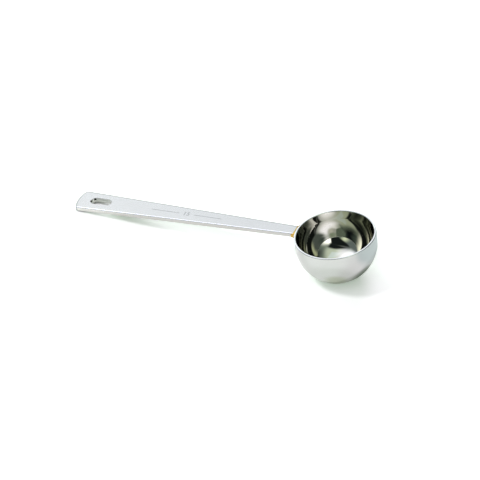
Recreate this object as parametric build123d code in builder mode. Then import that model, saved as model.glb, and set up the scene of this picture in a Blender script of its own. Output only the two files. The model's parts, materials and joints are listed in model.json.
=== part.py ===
from build123d import *
import os
from math import asin, atan2, cos, hypot, sin

# A one-tablespoon measuring spoon in stainless steel, in millimetres.
# It is stored as it lies on a table: the cup stands on its round bottom and the
# far end of the handle touches the table, so the rim dips towards the handle.
# The cup is towards +X, the handle towards -X, and the XZ plane halves it.

# Cup: a drawn half ball with a short straight band up to the rim
cup_radius = 18.3
cup_wall = 1.0
band_height = 4.4
lip_edge_break = 0.2

# Handle: a flat bar, parallel to the rim and just below it
handle_length = 109.3
handle_thickness = 2.2
handle_drop = 0.65
root_width = 5.95
tail_width = 12.75
tail_bulge = 1.5
tail_corner_radius = 0.55
edge_radius = 0.45

# Hanging slot near the far end of the handle
slot_length = 9.9
slot_width = 4.2
slot_inset = 11.85
slot_edge_break = 0.15

# Brass filler: a film behind the handle's end and a collar that swells round it.
# Its far end dips just under the top of the bar, so it ends sooner there.
film_thickness = 0.1
seat_clearance = 0.01
braze_reach = 1.8
braze_rise_above = 0.38
braze_rise_below = 0.8
braze_rise_beside = 0.7
braze_feather = 0.06
braze_dip = 0.15
braze_reach_shares = (0, 0.4, 1)

# The lean that brings the cup's bottom and the handle's far edge to one level
lever = handle_length + cup_radius - edge_radius
step = handle_drop + handle_thickness - edge_radius - band_height
lean = asin((cup_radius - edge_radius) / hypot(lever, step)) - atan2(step, lever)

# The rim's centre, with the lowest points at height zero and the length centred
rim_height = cup_radius + band_height * cos(lean)
cup_end = cup_radius + band_height * sin(lean)
tail_run = (cup_radius + handle_length - edge_radius) * cos(lean)
tail_end = (handle_drop + edge_radius) * sin(lean) - tail_run - edge_radius
rim_centre = Vector(-(cup_end + tail_end) / 2, 0, rim_height)

along = Vector(cos(lean), 0, sin(lean))
upward = Vector(-sin(lean), 0, cos(lean))
rim_plane = Plane(rim_centre, x_dir=along, z_dir=upward)
section_plane = Plane(rim_centre, x_dir=along, z_dir=(0, -1, 0))
handle_plane = rim_plane.offset(-handle_drop)
cup_axis = Axis(rim_centre, upward)
long_axis = Axis(rim_centre, along)

os.makedirs("parts", exist_ok=True)


# Cup: half of its section, turned about its axis, then the ground lip's edges broken
inner_radius = cup_radius - cup_wall
with BuildPart() as bowl:
    with BuildSketch(section_plane):
        with BuildLine():
            outside = CenterArc((0, -band_height), cup_radius, 270, 90)
            band = Line(outside @ 1, (cup_radius, 0))
            lip = Line(band @ 1, (inner_radius, 0))
            lining = Line(lip @ 1, (inner_radius, -band_height))
            inside = CenterArc((0, -band_height), inner_radius, 0, -90)
            Line(inside @ 1, outside @ 0)
        make_face()
    revolve(axis=cup_axis)
    rim = bowl.faces().filter_by(GeomType.PLANE).sort_by(cup_axis)[-1]
    chamfer(rim.edges(), lip_edge_break)
bowl.part.label = "bowl"
export_step(bowl.part, "parts/bowl.step")


# Handle: a bar that widens to a bowed end, its root cut to the curve of the cup
tail_reach = cup_radius + handle_length
corner_reach = tail_reach - tail_bulge
widening = (tail_width - root_width) / (handle_length - tail_bulge)
axis_width = root_width - widening * cup_radius
with BuildPart() as handle:
    with BuildSketch(handle_plane) as outline:
        with BuildLine():
            far_side = Line((0, axis_width / 2), (-corner_reach, tail_width / 2))
            near_side = Line((-corner_reach, -tail_width / 2), (0, -axis_width / 2))
            ThreePointArc(far_side @ 1, (-tail_reach, 0), near_side @ 0)
            Line(near_side @ 1, far_side @ 0)
        make_face()
        fillet(outline.vertices().group_by(Axis.X)[0], tail_corner_radius)
        with Locations((slot_inset - tail_reach, 0)):
            SlotOverall(slot_length, slot_width, mode=Mode.SUBTRACT)
    extrude(amount=-handle_thickness)
    top = handle.faces().sort_by(cup_axis)[-1]
    bottom = handle.faces().sort_by(cup_axis)[0]
    slot_edges = top.inner_wires()[0].edges() + bottom.inner_wires()[0].edges()
    long_edges = top.outer_wire().edges() + bottom.outer_wire().edges()
    chamfer(slot_edges, slot_edge_break)
    fillet(long_edges, edge_radius)
    with BuildSketch(handle_plane):
        Circle(cup_radius + film_thickness)
    extrude(amount=handle_thickness, both=True, mode=Mode.SUBTRACT)
handle.part.label = "handle"
export_step(handle.part, "parts/handle.step")


# Filler: it swells from a feather edge on the handle to a collar on the cup's wall
with BuildPart() as braze_fillet:
    for share in braze_reach_shares:
        swell = (1 - share) ** 2
        reach = share * braze_reach
        above = swell * (braze_rise_above + braze_dip) - braze_dip
        beside = swell * braze_rise_beside + braze_feather
        below = swell * braze_rise_below + braze_feather
        middle_depth = (handle_thickness + below - above) / 2
        middle = handle_plane.from_local_coords((-cup_radius - reach, 0, -middle_depth))
        with BuildSketch(Plane(middle, x_dir=(0, 1, 0), z_dir=along)):
            RectangleRounded(
                root_width + widening * reach + 2 * beside,
                above + handle_thickness + below,
                edge_radius + braze_feather + swell * braze_rise_above,
            )
    loft()
    extrude(braze_fillet.faces().sort_by(long_axis)[-1], amount=cup_wall)
    with BuildSketch(rim_plane):
        Circle(cup_radius + seat_clearance)
    extrude(amount=-band_height, mode=Mode.SUBTRACT)
    add(handle.part, mode=Mode.SUBTRACT)
braze_fillet.part.label = "braze_fillet"
export_step(braze_fillet.part, "parts/braze_fillet.step")
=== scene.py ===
import json
import math

import bpy
import bmesh
from mathutils import Matrix, Vector


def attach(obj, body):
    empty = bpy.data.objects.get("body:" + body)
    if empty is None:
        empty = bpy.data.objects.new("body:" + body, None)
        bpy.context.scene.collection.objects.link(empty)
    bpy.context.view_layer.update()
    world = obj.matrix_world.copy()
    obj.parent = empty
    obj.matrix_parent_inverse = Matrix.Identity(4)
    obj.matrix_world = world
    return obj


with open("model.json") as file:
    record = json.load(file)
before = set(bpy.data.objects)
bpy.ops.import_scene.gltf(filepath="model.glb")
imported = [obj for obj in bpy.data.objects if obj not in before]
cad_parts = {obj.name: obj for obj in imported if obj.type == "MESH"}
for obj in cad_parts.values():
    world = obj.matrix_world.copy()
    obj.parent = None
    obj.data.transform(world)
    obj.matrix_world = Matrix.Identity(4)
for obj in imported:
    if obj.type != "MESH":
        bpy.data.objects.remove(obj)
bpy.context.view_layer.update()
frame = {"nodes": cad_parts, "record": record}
print("frame loaded:", ", ".join(sorted(frame["nodes"])))


# One output socket; arithmetic on it adds Math nodes to its tree
class Wire:
    def __init__(self, recipe, socket):
        self.recipe = recipe
        self.socket = socket

    def maths(self, operation, *values):
        return self.recipe.add("ShaderNodeMath", {"operation": operation}, dict(enumerate(values)))

    def __add__(self, other):
        return self.maths("ADD", self, other)

    def __radd__(self, other):
        return self.maths("ADD", other, self)

    def __sub__(self, other):
        return self.maths("SUBTRACT", self, other)

    def __rsub__(self, other):
        return self.maths("SUBTRACT", other, self)

    def __mul__(self, other):
        return self.maths("MULTIPLY", self, other)

    def __rmul__(self, other):
        return self.maths("MULTIPLY", other, self)

    def __gt__(self, other):
        return self.maths("GREATER_THAN", self, other)

    def __lt__(self, other):
        return self.maths("LESS_THAN", self, other)

    def __abs__(self):
        return self.maths("ABSOLUTE", self)


# The node tree of one material or of the world
class Recipe:
    def __init__(self, tree):
        self.tree = tree
        tree.nodes.clear()

    def add(self, kind, settings=None, sockets=None, output=0):
        made = self.tree.nodes.new(kind)
        for name, value in (settings or {}).items():
            setattr(made, name, value)
        for name, value in (sockets or {}).items():
            if isinstance(value, Wire):
                self.tree.links.new(value.socket, made.inputs[name])
            else:
                made.inputs[name].default_value = value
        return Wire(self, made.outputs[output]) if made.outputs else made

    def blend(self, share, first, second):  # colours: the first where the share is 0
        return self.add(
            "ShaderNodeMix", {"data_type": "RGBA"}, {0: share, 6: first, 7: second}, output=2
        )

    def rise(self, value, start, end):  # 0 before start, 1 after end, smooth between
        return self.add(
            "ShaderNodeMapRange",
            {"interpolation_type": "SMOOTHSTEP"},
            {"Value": value, "From Min": start, "From Max": end},
        )

    def vector(self, operation, first, second):
        return self.add("ShaderNodeVectorMath", {"operation": operation}, {0: first, 1: second})

    def times(self, colour, other):
        return self.vector("MULTIPLY", colour, tuple(other))

    def along(self, place, direction):  # how far a place lies in a direction
        return self.add(
            "ShaderNodeVectorMath",
            {"operation": "DOT_PRODUCT"},
            {0: place, 1: tuple(direction)},
            output="Value",
        )

    def length(self, place):
        return self.add(
            "ShaderNodeVectorMath", {"operation": "LENGTH"}, {0: place}, output="Value"
        )

    def noise(self, place, scale, detail, flat=False):
        settings = {"noise_dimensions": "2D"} if flat else None
        return self.add(
            "ShaderNodeTexNoise", settings, {"Vector": place, "Scale": scale, "Detail": detail}
        )

    def flatPlace(self, across, up):
        return self.add("ShaderNodeCombineXYZ", None, {"X": across, "Y": up})

    def path(self, question):  # what kind of ray looks at the surface
        return self.add("ShaderNodeLightPath", output=question)

    def larger(self, first, second):
        return self.add("ShaderNodeMath", {"operation": "MAXIMUM"}, {0: first, 1: second})

    def mirrored(self):  # 1 for what metal and glass show to the camera
        through = self.larger(self.path("Is Glossy Ray"), self.path("Is Transmission Ray"))
        return through * (self.path("Diffuse Depth") < 0.5)

    def openness(self, distance):  # 1 where nothing is near
        return self.add(
            "ShaderNodeAmbientOcclusion", {"samples": 12}, {"Distance": distance}, output="AO"
        )

    def metal(self, colour, roughness, heights, depth):  # heights in -1..1 of that depth
        bump = self.add(
            "ShaderNodeBump", None, {"Strength": 1.0, "Distance": depth, "Height": heights}
        )
        shader = self.add(
            "ShaderNodeBsdfPrincipled",
            None,
            {"Base Color": colour, "Metallic": 1.0, "Roughness": roughness, "Normal": bump},
        )
        self.add("ShaderNodeOutputMaterial", None, {"Surface": shader})


def newMaterial(name):
    material = bpy.data.materials.new(name)
    material.use_nodes = True
    return material, Recipe(material.node_tree)


def paint(piece, material):
    for slot in piece.material_slots:
        slot.material = material


def shade(colour, share=1.0):
    return tuple(share * channel for channel in colour) + (1.0,)


# The spoon's own sizes in metres, as in its source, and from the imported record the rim's
# centre and the way the rim faces
cupShape = {"radius": 0.0183, "wall": 0.001, "band": 0.0044, "lipBreak": 0.0002}
handleShape = {
    "drop": 0.00065,
    "thickness": 0.0022,
    "length": 0.1093,
    "rootWidth": 0.00595,
    "tailWidth": 0.01275,
    "tailBulge": 0.0015,
    "edge": 0.00045,
    "slotLength": 0.0099,
    "slotWidth": 0.0042,
    "slotInset": 0.01185,
}
rimMount = next(mount for mount in frame["record"]["mounts"] if mount["name"] == "rim")
upward = Vector(rimMount["axis"]).normalized()
along = Vector((upward.z, 0, -upward.x))
rimCentre = Vector(rimMount["pos_m"]) - along * (cupShape["radius"] - cupShape["wall"] / 2)
print("rim centre at", [round(1000 * value, 2) for value in rimCentre], "mm")


# Camera: where the photographer stood
cameraSettings = {
    "target": (0.00820, 0.0, 0.00422),
    "distance": 1.1412,
    "turn": 23.183,  # degrees round to the cup's side
    "height": 39.783,  # degrees above the table
    "roll": 0.290,
    "lens": 190.76,
}


def makeCamera(settings):
    turn, height, roll = (math.radians(settings[key]) for key in ("turn", "height", "roll"))
    back = Vector(
        (math.sin(turn) * math.cos(height), -math.cos(turn) * math.cos(height), math.sin(height))
    )
    right = Vector((-back.y, back.x, 0)).normalized()
    top = back.cross(right)
    rolledRight = math.cos(roll) * right + math.sin(roll) * top
    rolledTop = math.cos(roll) * top - math.sin(roll) * right
    data = bpy.data.cameras.new("camera")
    data.lens = settings["lens"]
    data.sensor_width = 36.0
    data.clip_start, data.clip_end = 0.1, 20.0
    camera = bpy.data.objects.new("camera", data)
    camera.matrix_world = Matrix.Translation(
        Vector(settings["target"]) + back * settings["distance"]
    ) @ Matrix((rolledRight, rolledTop, back)).transposed().to_4x4()
    bpy.context.scene.collection.objects.link(camera)
    bpy.context.scene.camera = camera


makeCamera(cameraSettings)
print("camera placed")


# Steel of the cup: a bright polish inside, a softer one outside, a ground lip; painted shade
# darkens the inside and a painted highlight pales the lip
cupSteelSettings = {
    # painted shade: the inside steel is coloured darker and yellower than the outside
    "insideColour": (0.56, 0.55, 0.49),
    "outsideColour": (0.715, 0.735, 0.71),
    # painted highlight: the ground lip is coloured paler than the rest of the steel
    "lipColour": (0.93, 0.94, 0.94),
    "insideRoughness": 0.024,
    "outsideRoughness": 0.13,
    "lipRoughness": 0.30,
    "ringsPerMetre": 6000.0,
    "ringDepth": 0.00000012,
    "smearScale": 130.0,
    "smearShare": 0.025,
    "wearRange": (-0.1, 0.35),  # smears from none to full, which pale the steel a little
    "wearShare": 0.06,
}


def cupSteel(settings):
    material, recipe = newMaterial("bowl_steel")
    place = recipe.add("ShaderNodeTexCoord", output="Object")
    fromRim = recipe.vector("SUBTRACT", place, tuple(rimCentre))
    height = recipe.along(fromRim, upward)
    upPart = recipe.add(
        "ShaderNodeVectorMath", {"operation": "SCALE"}, {0: tuple(upward), "Scale": height}
    )
    radius = recipe.length(recipe.vector("SUBTRACT", fromRim, upPart))
    ballRadius = recipe.length(recipe.vector("ADD", fromRim, tuple(upward * cupShape["band"])))
    inBand = height > -cupShape["band"]
    wallRadius = inBand * radius + (1 - inBand) * ballRadius
    outside = wallRadius > cupShape["radius"] - cupShape["wall"] / 2
    lip = height > -0.4 * cupShape["lipBreak"]

    # rings left by the lathe's polishing, and the smears of use
    rings = recipe.noise(
        recipe.flatPlace(radius * settings["ringsPerMetre"], height * settings["ringsPerMetre"]),
        1.0, 3.0, flat=True,
    ) - 0.5
    smears = recipe.noise(place, settings["smearScale"], 4.0) - 0.5
    roughness = (
        settings["insideRoughness"]
        + outside * (settings["outsideRoughness"] - settings["insideRoughness"])
        + lip * (settings["lipRoughness"] - settings["outsideRoughness"])
        + (rings + smears) * settings["smearShare"]
    )
    # painted shade inside the cup, and a painted highlight on the paler lip
    colour = recipe.blend(
        outside, shade(settings["insideColour"]), shade(settings["outsideColour"])
    )
    colour = recipe.blend(lip, colour, shade(settings["lipColour"]))
    wear = recipe.rise(smears + rings * 0.5, *settings["wearRange"]) * settings["wearShare"]
    colour = recipe.blend(wear, colour, shade((1, 1, 1)))
    recipe.metal(colour, roughness, rings, settings["ringDepth"])
    return material


paint(frame["nodes"]["bowl"], cupSteel(cupSteelSettings))
print("cup steel mixed")


# Steel of the handle: a fine satin grain along the bar, its rounded edges polished and paler as a
# painted highlight, the sides darker as painted shade and paler near the tail as painted light,
# and a painted dark line of shade along the back and round the end
handleSteelSettings = {
    "colour": (0.73, 0.735, 0.745),
    # painted highlight: the polished rounded edges are coloured paler than the bar
    "edgeColour": (0.80, 0.805, 0.80),
    # painted shade: a dark line along the back edge and round the end
    "hemShadeColour": (0.50, 0.53, 0.52),
    # painted shade: the side faces darker than the top; painted light: paler near the tail
    "sideColour": (0.65, 0.635, 0.615),
    "tailSideLitColour": (0.86, 0.845, 0.815),
    # painted light: the slot's wall is coloured paler than the bar
    "slotWallLitColour": (0.95, 0.95, 0.93),
    # painted shade: the slot's broken edge dark, darker still towards the tail
    "slotEdgeColour": (0.42, 0.42, 0.38),
    "slotShadeColour": (0.17, 0.17, 0.15),
    # painted shade: two near-black spots by the slot's end
    "spotShadeColour": (0.02, 0.02, 0.02),
    "darkSpots": [  # along and aside from the slot's middle, and how far each reaches
        (-0.0053, -0.0008, 0.0010),
        (-0.0040, 0.0015, 0.0006),
    ],
    "roughness": 0.22,
    "edgeRoughness": 0.14,
    "slotRoughness": 0.80,
    "grainAcross": 7000.0,
    "grainAlong": 90.0,
    "grainDepth": 0.0000002,
    "grainShare": 0.06,
    "smearScale": 110.0,
    "smearShare": 0.05,
    "wearRange": (-0.2, 0.5),
    "wearShare": 0.08,
    # where each finish, painted shade and painted light fades in, in metres: none at the first
    # number, full at the second
    "backHem": (-0.0010, -0.0007),  # from the long edge
    "endHem": (0.0007, 0.0010),  # from the tip, the other way round: full, then none
    "tailSide": (0.026, 0.008),  # from the tip
    "slotEdge": (0.00022, 0.00016),  # from the slot's wall
    "slotWall": (0.00004, 0.00002),
    "slotWallUp": (0.00020, 0.00040),  # from the bar's underside
    "slotShadeRun": (-0.0005, -0.0035),  # along from the slot's middle
    "spotZone": (0.0006, 0.0005),  # from the slot's wall
    "spotUp": (0.0010, 0.0013),  # from the bar's underside
}


def handleSteel(settings):
    material, recipe = newMaterial("handle_steel")
    place = recipe.add("ShaderNodeTexCoord", output="Object")
    fromRim = recipe.vector("SUBTRACT", place, tuple(rimCentre))
    run = recipe.along(fromRim, along)
    sideways = recipe.along(place, (0, 1, 0))
    height = recipe.along(fromRim, upward)
    grain = recipe.noise(
        recipe.flatPlace(
            run * settings["grainAlong"],
            (sideways + height) * settings["grainAcross"],
        ),
        1.0, 4.0, flat=True,
    ) - 0.5
    smears = recipe.noise(place, settings["smearScale"], 4.0) - 0.5

    # the bar widens evenly from root to tail, so its edge is a known distance aside
    taperLength = handleShape["length"] - handleShape["tailBulge"]
    taper = (handleShape["tailWidth"] - handleShape["rootWidth"]) / (2 * taperLength)
    halfWidth = handleShape["rootWidth"] / 2 - (run + cupShape["radius"]) * taper
    half = handleShape["thickness"] / 2
    fromMiddle = abs(height + (handleShape["drop"] + half))
    edge = recipe.rise(
        abs(sideways) - halfWidth, -1.3 * handleShape["edge"], -0.3 * handleShape["edge"]
    ) * recipe.rise(fromMiddle - half, -handleShape["edge"], -0.5 * handleShape["edge"])
    bow = sideways * (2 / handleShape["tailWidth"])
    fromEnd = (
        run + (cupShape["radius"] + handleShape["length"]) - bow * bow * handleShape["tailBulge"]
    )
    # painted shade: a dark line along the back edge and round the tail's end
    backHem = recipe.rise(sideways - halfWidth, *settings["backHem"])
    endHem = 1 - recipe.rise(fromEnd, *settings["endHem"])
    hem = recipe.larger(backHem, endHem)
    roughness = (
        settings["roughness"]
        + edge * (settings["edgeRoughness"] - settings["roughness"])
        + grain * settings["grainShare"]
        + smears * settings["smearShare"]
    )
    # painted shade on the side faces, and painted light on them near the tail
    side = recipe.rise(fromMiddle - half, -0.7 * handleShape["edge"], -handleShape["edge"])
    sideColour = recipe.blend(
        recipe.rise(fromEnd, *settings["tailSide"]),
        shade(settings["sideColour"]),
        shade(settings["tailSideLitColour"]),
    )
    colour = recipe.blend(side, shade(settings["colour"]), sideColour)
    # painted highlight: the rounded edges take the paler colour
    colour = recipe.blend(edge, colour, shade(settings["edgeColour"]))

    # how far outside the slot's wall a place is: the wall is pale as painted light, its broken
    # edge dark as painted shade and darker still towards the tail, with two painted dark spots of
    # shade
    slotMiddle = cupShape["radius"] + handleShape["length"] - handleShape["slotInset"]
    straight = (handleShape["slotLength"] - handleShape["slotWidth"]) / 2
    pastStraight = recipe.larger(abs(run + slotMiddle) - straight, 0.0)
    fromSlot = (
        recipe.length(recipe.flatPlace(pastStraight, sideways)) - handleShape["slotWidth"] / 2
    )
    fromBottom = height + (handleShape["drop"] + handleShape["thickness"])
    slotEdge = recipe.rise(fromSlot, *settings["slotEdge"])
    slotWall = recipe.rise(fromSlot, *settings["slotWall"]) * recipe.rise(
        fromBottom, *settings["slotWallUp"]
    )
    roughness = roughness + slotWall * (settings["slotRoughness"] - settings["roughness"])
    # painted shade at the slot's broken edge, darker towards the tail
    edgeColour = recipe.blend(
        recipe.rise(run + slotMiddle, *settings["slotShadeRun"]),
        shade(settings["slotEdgeColour"]),
        shade(settings["slotShadeColour"]),
    )
    colour = recipe.blend(slotEdge, colour, edgeColour)
    colour = recipe.blend(slotWall, colour, shade(settings["slotWallLitColour"]))
    nearSlot = recipe.rise(fromSlot, *settings["spotZone"]) * recipe.rise(
        fromBottom, *settings["spotUp"]
    )
    # two painted dark spots of shade by the slot's end
    for spotRun, spotAside, reach in settings["darkSpots"]:
        fromSpot = recipe.length(
            recipe.flatPlace(run + (slotMiddle - spotRun), sideways - spotAside)
        )
        spotShade = recipe.rise(fromSpot, reach, 0.6 * reach) * nearSlot
        colour = recipe.blend(spotShade, colour, shade(settings["spotShadeColour"]))
    # the painted dark line of shade along the back and round the end
    colour = recipe.blend(hem, colour, shade(settings["hemShadeColour"]))
    wear = recipe.rise(grain + smears, *settings["wearRange"]) * settings["wearShare"]
    colour = recipe.blend(wear, colour, shade((1, 1, 1)))
    recipe.metal(colour, roughness, grain, settings["grainDepth"])
    return material


paint(frame["nodes"]["handle"], handleSteel(handleSteelSettings))
print("handle steel mixed")


# Brass filler: it set in soft folds and has dulled a little
brassSettings = {
    "bright": (0.82, 0.54, 0.12),
    "dull": (0.52, 0.31, 0.06),
    "roughness": 0.30,
    "foldScale": 1400.0,
    "foldDepth": 0.00003,
    "foldShare": 0.2,
    "stainScale": 500.0,
    "stainRange": (0.35, 0.75),
}


def fillerBrass(settings):
    material, recipe = newMaterial("braze_brass")
    place = recipe.add("ShaderNodeTexCoord", output="Object")
    folds = recipe.noise(place, settings["foldScale"], 3.0) - 0.5
    stain = recipe.noise(place, settings["stainScale"], 2.0)
    colour = recipe.blend(
        recipe.rise(stain, *settings["stainRange"]),
        shade(settings["bright"]),
        shade(settings["dull"]),
    )
    roughness = settings["roughness"] + folds * settings["foldShare"]
    recipe.metal(colour, roughness, folds, settings["foldDepth"])
    return material


paint(frame["nodes"]["braze_fillet"], fillerBrass(brassSettings))
print("brass mixed")


# Measure mark: a plain number etched faintly on the handle, with a plain rule at each side
markSettings = {
    "number": "15",
    "middle": -0.0725,  # along the handle from the rim's centre
    "numberSize": 0.0034,
    "stroke": 0.00034,
    "gap": 0.0038,
    "ruleLength": 0.0135,
    "proud": 0.000004,
    "sunk": 0.00003,
    "bolder": 0.00005,  # how far the number's outline is pushed out
    "colour": (0.43, 0.44, 0.45),
    "roughness": 0.27,
    "pitScale": 9000.0,
    "pitRange": (-0.3, 0.3),
    "pitShades": (0.92, 1.08),
    "pitShare": 0.1,
    "pitDepth": 0.0000005,
}


def arcPoints(middle, radius, fromAngle, toAngle, steps):
    angles = [
        math.radians(fromAngle + (toAngle - fromAngle) * step / steps) for step in range(steps + 1)
    ]
    return [
        (middle[0] + radius * math.cos(angle), middle[1] + radius * math.sin(angle))
        for angle in angles
    ]


def addRule(shape, place, settings, side):  # a thin bar with round ends
    half = settings["stroke"] / 2
    ends = (settings["gap"], settings["gap"] + settings["ruleLength"])
    near, far = sorted(side * end for end in ends)
    outline = arcPoints((far, 0), half, -90, 90, 8) + arcPoints((near, 0), half, 90, 270, 8)
    upper = [shape.verts.new(place @ Vector((x, y, settings["proud"]))) for x, y in outline]
    lower = [shape.verts.new(place @ Vector((x, y, -settings["sunk"]))) for x, y in outline]
    shape.faces.new(upper)
    shape.faces.new(list(reversed(lower)))
    for number in range(len(outline)):
        following = (number + 1) % len(outline)
        shape.faces.new((lower[number], lower[following], upper[following], upper[number]))


def makeMark(settings):
    top = rimCentre - upward * handleShape["drop"] + along * settings["middle"]
    place = Matrix.Translation(top) @ Matrix((along, (0, 1, 0), upward)).transposed().to_4x4()
    letters = bpy.data.curves.new("measure_number", "FONT")
    letters.body = settings["number"]
    letters.size = settings["numberSize"]
    letters.offset = settings["bolder"]
    letters.align_x = letters.align_y = "CENTER"
    letters.extrude = (settings["proud"] + settings["sunk"]) / 2
    draft = bpy.data.objects.new("measure_number", letters)
    mesh = bpy.data.meshes.new_from_object(draft)
    bpy.data.objects.remove(draft)
    middleHeight = (settings["proud"] - settings["sunk"]) / 2
    mesh.transform(place @ Matrix.Translation((0, 0, middleHeight)))
    shape = bmesh.new()
    shape.from_mesh(mesh)
    for side in (-1, 1):
        addRule(shape, place, settings, side)
    bmesh.ops.triangulate(shape, faces=[face for face in shape.faces if len(face.verts) > 4])
    shape.to_mesh(mesh)
    shape.free()
    mesh.materials.clear()
    mark = bpy.data.objects.new("measure_mark", mesh)
    bpy.context.scene.collection.objects.link(mark)
    material, recipe = newMaterial("etched_steel")
    where = recipe.add("ShaderNodeTexCoord", output="Object")
    pits = recipe.noise(where, settings["pitScale"], 2.0) - 0.5
    dark, pale = (shade(settings["colour"], share) for share in settings["pitShades"])
    colour = recipe.blend(recipe.rise(pits, *settings["pitRange"]), dark, pale)
    roughness = settings["roughness"] + pits * settings["pitShare"]
    recipe.metal(colour, roughness, pits, settings["pitDepth"])
    mesh.materials.append(material)
    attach(mark, "root")


makeMark(markSettings)
print("measure mark etched")


# Table: white paper that shows pure white, and keeps the spoon's soft shadow
tableSettings = {
    "radius": 2.6,
    "colour": (0.90, 0.90, 0.90),
    "glow": (0.40, 0.47, 0.39),
    "crease": 0.0011,  # nearer than this, what stands over the paper takes its glow away
    "tailCrease": 0.0026,  # the same behind the middle of the handle's end, as the slot shows
    "tailRun": (-0.020, -0.050),  # where that begins and is full, along and aside
    "tailAside": (0.0, 0.0015),
    "mirroredColour": (0.675, 0.675, 0.675),  # this and the next are what the steel sees
    "mirroredGlow": (0.265, 0.30, 0.243),
    "deepShade": [  # the cup's shadow in the steel: place, reach, light left in the middle
        ((0.0700, 0.0020, 0), 0.012, (0.35, 0.40, 0.34)),
        ((0.0605, -0.0140, 0), 0.010, (0.76, 0.80, 0.68)),
    ],
    "shadeCore": 0.003,
    "dimming": (0.68, 0.74, 0.76),  # of what the steel sees to the cup's far side
    "dimmingWay": (0.6, 0.8, 0),
    "dimmingRange": (0.043, 0.063),
}


def makeTable(settings):
    mesh = bpy.data.meshes.new("table_top")
    shape = bmesh.new()
    bmesh.ops.create_circle(shape, cap_ends=True, radius=settings["radius"], segments=64)
    shape.to_mesh(mesh)
    shape.free()
    table = bpy.data.objects.new("table_top", mesh)
    bpy.context.scene.collection.objects.link(table)
    material, recipe = newMaterial("table_paper")
    camera, mirrored = recipe.path("Is Camera Ray"), recipe.mirrored()
    place = recipe.add("ShaderNodeTexCoord", output="Object")
    farSide = recipe.rise(
        recipe.along(place, settings["dimmingWay"]), *settings["dimmingRange"]
    )
    dimming = recipe.blend(farSide, shade((1, 1, 1)), shade(settings["dimming"]))
    for middle, reach, left in settings["deepShade"]:
        fromMiddle = recipe.length(recipe.vector("SUBTRACT", place, middle))
        share = recipe.rise(fromMiddle, reach, settings["shadeCore"])
        dimming = recipe.blend(share, dimming, shade(left))
    black = shade((0, 0, 0))
    paperColour = recipe.blend(mirrored, black, recipe.times(dimming, settings["mirroredColour"]))
    paperColour = recipe.blend(camera, paperColour, shade(settings["colour"]))
    glowColour = recipe.blend(mirrored, black, recipe.times(dimming, settings["mirroredGlow"]))
    underTail = recipe.rise(
        recipe.along(place, (1, 0, 0)), *settings["tailRun"]
    ) * recipe.rise(recipe.along(place, (0, 1, 0)), *settings["tailAside"])
    bare = recipe.openness(settings["crease"])
    bare = bare + underTail * (recipe.openness(settings["tailCrease"]) - bare)
    shown = recipe.blend(bare, black, shade(settings["glow"]))
    glowColour = recipe.blend(camera, glowColour, shown)
    paper = recipe.add("ShaderNodeBsdfDiffuse", None, {"Color": paperColour})
    glow = recipe.add("ShaderNodeEmission", None, {"Color": glowColour, "Strength": 1.0})
    both = recipe.add("ShaderNodeAddShader", None, {0: paper, 1: glow})
    recipe.add("ShaderNodeOutputMaterial", None, {"Surface": both})
    mesh.materials.append(material)


makeTable(tableSettings)
print("table laid")


# Studio: a dim tent with soft cards of light and black hung in it, the later over the
# earlier. A corner is (turn, height) in degrees: turn 0 lies behind the spoon and 90 on
# the cup's side; soft is the width in degrees over which a card's border fades.
studioSettings = {
    "radius": 2.5,
    "gloom": (0.105, 0.149, 0.136),
    "cards": [
        {
            "corners": [(-139, 27), (-60, -4), (7, 4), (-18, 91)],
            "soft": 8,
            "light": (0.54, 0.65, 0.54),
        },
        {
            "corners": [(28, 21), (112, 35), (146, 68), (0, 65)],
            "soft": 3,
            "light": (0.26, 0.32, 0.27),
        },
        {
            "corners": [(21, 58), (109, 48), (190, 39), (-61, 85)],
            "soft": 21,
            "light": (0.82, 0.93, 0.77),
        },
        {
            "corners": [(60, 66), (130, 65.5), (200, 66), (130, 84)],
            "soft": 6,
            "light": (0.98, 1.14, 1.14),
        },
        {
            "corners": [(-124, 43), (-18, 21), (-6, 56), (184, 55)],
            "soft": 39,
            "light": (2.05, 2.08, 2.32),
        },
        {
            "corners": [(-49, -13), (-70, -19), (-26, 77), (-127, 38)],
            "soft": 33,
            "light": (2.68, 2.72, 3.28),
        },
        {
            "corners": [(-163, -2), (-77, 15), (-109, 37), (-172, 44)],
            "soft": 19,
            "light": (0.18, 0.22, 0.22),
        },
        {
            "corners": [(194, 5), (-179, 11), (-160, 24), (164, 40)],
            "soft": 19,
            "light": (1.32, 1.45, 1.05),
        },
        {
            "corners": [(151, 11), (102, 33), (119, 41), (148, 46)],
            "soft": 21,
            "light": (3.00, 3.05, 2.90),
        },
        {
            "corners": [(140, 8), (139, 45), (-144, 39), (-150, 37)],
            "soft": 6,
            "light": (0.013, 0.017, 0.017),
        },
        {
            "corners": [(55, 8), (46, 0), (20, 37), (98, 44)],
            "soft": 27,
            "light": (0.012, 0.016, 0.021),
        },
        {
            "corners": [(35, 8), (-20, 7), (-24, 38), (8, 49)],
            "soft": 10,
            "light": (0.26, 0.33, 0.28),
        },
        {
            "corners": [(-143, 41), (-214, 60), (121, 49), (137, 39)],
            "soft": 8,
            "light": (0.014, 0.018, 0.018),
        },
        {
            "corners": [(-52, 20), (-23, 20), (-23, 42), (-52, 41)],
            "soft": 10,
            "light": (0.86, 0.89, 0.91),
        },
        {
            "corners": [(-64, 17), (-37.7, 18), (-37.7, 42), (-64, 41)],
            "soft": 16,
            "light": (1.22, 1.25, 1.25),
        },
    ],
}


def aim(turn, height):
    turn, height = math.radians(turn), math.radians(height)
    return Vector(
        (math.sin(turn) * math.cos(height), math.cos(turn) * math.cos(height), math.sin(height))
    )


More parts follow.
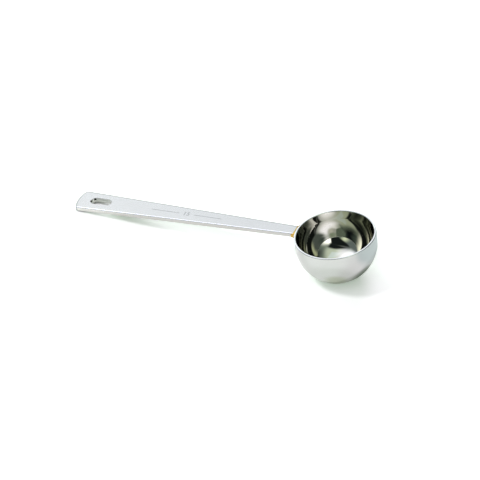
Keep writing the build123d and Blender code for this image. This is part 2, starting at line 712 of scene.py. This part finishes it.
def cardMask(recipe, out, card):  # 1 inside all four of the card's sides
    corners = [aim(*corner) for corner in card["corners"]]
    middle = sum(corners, Vector())
    soft = math.radians(card["soft"])
    mask = 1.0
    for first, second in zip(corners, corners[1:] + corners[:1]):
        inward = first.cross(second).normalized()
        if inward.dot(middle) < 0:
            inward = -inward
        mask = mask * recipe.rise(recipe.along(out, inward), -soft / 2, soft / 2)
    return mask


def makeStudio(settings):
    mesh = bpy.data.meshes.new("studio_tent")
    shape = bmesh.new()
    bmesh.ops.create_uvsphere(shape, u_segments=48, v_segments=24, radius=settings["radius"])
    shape.to_mesh(mesh)
    shape.free()
    tent = bpy.data.objects.new("studio_tent", mesh)
    bpy.context.scene.collection.objects.link(tent)
    tent.visible_camera = tent.visible_diffuse = tent.visible_shadow = False
    material, recipe = newMaterial("tent_cloth")
    place = recipe.add("ShaderNodeTexCoord", output="Object")
    out = recipe.add("ShaderNodeVectorMath", {"operation": "NORMALIZE"}, {0: place})
    light = shade(settings["gloom"])
    for card in settings["cards"]:
        light = recipe.blend(cardMask(recipe, out, card), light, shade(card["light"]))
    light = recipe.blend(recipe.path("Diffuse Depth") > 0.5, light, shade((0, 0, 0)))
    glow = recipe.add("ShaderNodeEmission", None, {"Color": light, "Strength": 1.0})
    recipe.add("ShaderNodeOutputMaterial", None, {"Surface": glow})
    mesh.materials.append(material)
    world = bpy.data.worlds.new("backdrop")
    world.use_nodes = True
    backdrop = Recipe(world.node_tree)
    seen = backdrop.larger(backdrop.path("Is Camera Ray"), backdrop.mirrored())
    colour = backdrop.blend(seen, shade((0, 0, 0)), shade((1, 1, 1)))
    white = backdrop.add("ShaderNodeBackground", None, {"Color": colour, "Strength": 1.0})
    backdrop.add("ShaderNodeOutputWorld", None, {"Surface": white})
    bpy.context.scene.world = world


makeStudio(studioSettings)
print("studio hung")


# Flag: a grey card over the handle, so that from above it doesn't mirror the brightest cloth
flagSettings = {
    "place": (-0.075, 0.0, 0.16),
    "size": (0.160, 0.050),
    "soft": 0.010,
    "light": (0.57, 0.57, 0.53),
}


def hangFlag(settings):
    mesh = bpy.data.meshes.new("overhead_flag")
    shape = bmesh.new()
    bmesh.ops.create_grid(shape, x_segments=4, y_segments=2, size=0.5)
    for vertex in shape.verts:
        vertex.co = [vertex.co[0] * settings["size"][0], vertex.co[1] * settings["size"][1], 0]
        vertex.co += Vector(settings["place"])
    shape.to_mesh(mesh)
    shape.free()
    flag = bpy.data.objects.new("overhead_flag", mesh)
    bpy.context.scene.collection.objects.link(flag)
    flag.visible_camera = flag.visible_diffuse = flag.visible_shadow = False
    material, recipe = newMaterial("flag_cloth")
    place = recipe.add("ShaderNodeTexCoord", output="Object")
    fromMiddle = recipe.vector("SUBTRACT", place, settings["place"])
    mask = recipe.path("Glossy Depth") < 1.5  # the cup's inner reflections pass it by
    for direction, size in zip(((1, 0, 0), (0, 1, 0)), settings["size"]):
        aside = abs(recipe.along(fromMiddle, direction))
        mask = mask * recipe.rise(aside, size / 2, size / 2 - settings["soft"])
    clear = recipe.add("ShaderNodeBsdfTransparent", None, {"Color": shade((1, 1, 1))})
    grey = recipe.add(
        "ShaderNodeEmission", None, {"Color": shade(settings["light"]), "Strength": 1.0}
    )
    cloth = recipe.add("ShaderNodeMixShader", None, {0: mask, 1: clear, 2: grey})
    recipe.add("ShaderNodeOutputMaterial", None, {"Surface": cloth})
    mesh.materials.append(material)


hangFlag(flagSettings)
print("flag hung")


# Lamps: soft boxes round the table light it and cast the spoon's shadow
lampSettings = {
    "distance": 1.3,
    "lamps": {
        "left_lamp": {
            "place": (-129.8, 56.2),
            "size": 0.27,
            "power": 6.6,
            "colour": (1.04, 1, 1.05),
        },
        "front_lamp": {
            "place": (169.6, 55.6),
            "size": 1.16,
            "power": 6.9,
            "colour": (1.12, 1, 1.18),
        },
        "side_lamp": {
            "place": (-63.6, 21.7),
            "size": 0.83,
            "power": 15.8,
            "colour": (0.84, 1, 0.88),
        },
        "back_lamp": {
            "place": (-12.8, 40.3),
            "size": 0.64,
            "power": 6.7,
            "colour": (1.14, 1, 1.18),
        },
    },
}


def hangLamps(settings):
    for name, lampFacts in settings["lamps"].items():
        data = bpy.data.lights.new(name, "AREA")
        data.shape = "DISK"
        data.size = lampFacts["size"]
        data.color = lampFacts["colour"]
        data.energy = lampFacts["power"]
        lamp = bpy.data.objects.new(name, data)
        way = aim(*lampFacts["place"])
        lamp.matrix_world = (
            Matrix.Translation(way * settings["distance"])
            @ way.to_track_quat("Z", "Y").to_matrix().to_4x4()
        )
        lamp.visible_glossy = lamp.visible_camera = False
        bpy.context.scene.collection.objects.link(lamp)


hangLamps(lampSettings)
bpy.context.scene.view_settings.view_transform = "Standard"
print("lamps hung")
